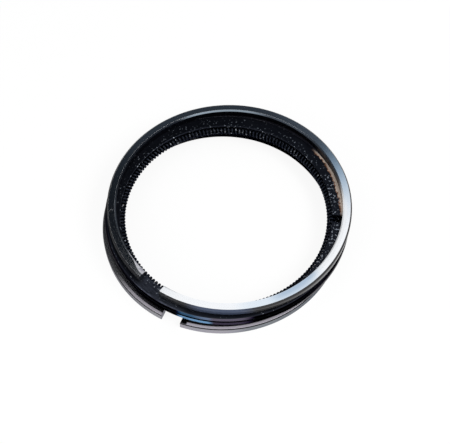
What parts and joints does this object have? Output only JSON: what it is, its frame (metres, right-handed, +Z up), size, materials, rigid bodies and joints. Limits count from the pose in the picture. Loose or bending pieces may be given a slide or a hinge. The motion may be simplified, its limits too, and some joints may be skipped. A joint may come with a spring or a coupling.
{
  "type": "piston ring set",
  "caption": "Stacked set of split piston rings in their free state: three compression rings, and a slotted oil ring with a coil expander in its inner groove.",
  "frame": {"origin": "Under the middle of the set's outline, on the surface that the lowest ring lies on", "axes": "+Z up along the rings' axes, -Y towards the viewer of the picture, +X to the right"},
  "size_m": [0.091, 0.0922, 0.013],
  "materials": {
    "first_ring_steel": "lapped side faces, dark running face",
    "oil_ring_iron": "dark phosphated iron",
    "second_ring_iron": "dark phosphated iron",
    "third_ring_chrome": "bright, chromed",
    "expander_wire": "dark blued spring wire",
    "joint_wire": "drawn wire"
  },
  "bodies": {
    "root": {"first_compression_ring": "first_ring_steel", "oil_ring": "oil_ring_iron", "coil_expander": "expander_wire", "expander_wire": "joint_wire", "second_compression_ring": "second_ring_iron", "third_compression_ring": "third_ring_chrome"}
  },
  "joints": []
}
